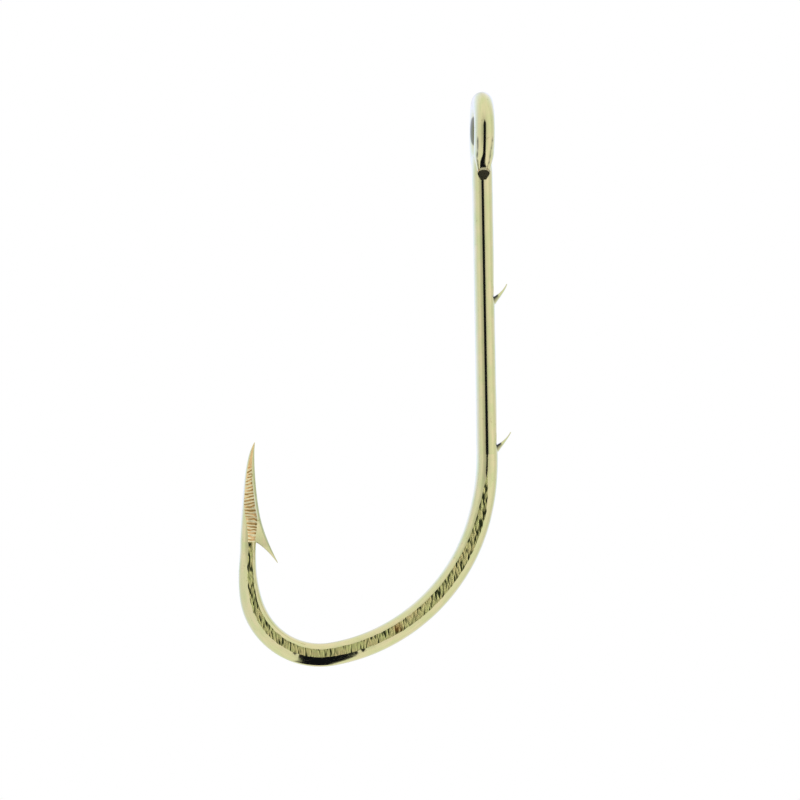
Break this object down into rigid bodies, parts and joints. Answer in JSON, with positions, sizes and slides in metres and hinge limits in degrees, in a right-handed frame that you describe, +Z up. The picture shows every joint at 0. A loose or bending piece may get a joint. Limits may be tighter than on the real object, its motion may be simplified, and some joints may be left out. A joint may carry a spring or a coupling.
{
  "type": "bait-holder fish hook",
  "caption": "Single fish hook of bronzed wire, with a ringed eye, two bait slices on the long shank, a forged bend and a barbed point.",
  "frame": {"origin": "middle of the hole in the eye", "axes": "+Z up the shank towards the eye; +X the side of the shank that has the slices, along the hole in the eye; +Y across the plane of the hook, so the forged faces look along -Y and +Y"},
  "size_m": [0.0166, 0.005, 0.0343],
  "materials": {
    "bronzed_wire": "glossy",
    "forged_face": "satin",
    "cut_metal": "satin"
  },
  "bodies": {
    "root": {"eye": "bronzed_wire", "eye_end": "bronzed_wire", "neck": "bronzed_wire", "shank": "bronzed_wire", "upper_slice": "bronzed_wire", "lower_slice": "bronzed_wire", "heel": "forged_face", "bend": "forged_face", "front_bend": "forged_face", "throat": "forged_face", "point": "cut_metal", "barb": "cut_metal"}
  },
  "joints": []
}
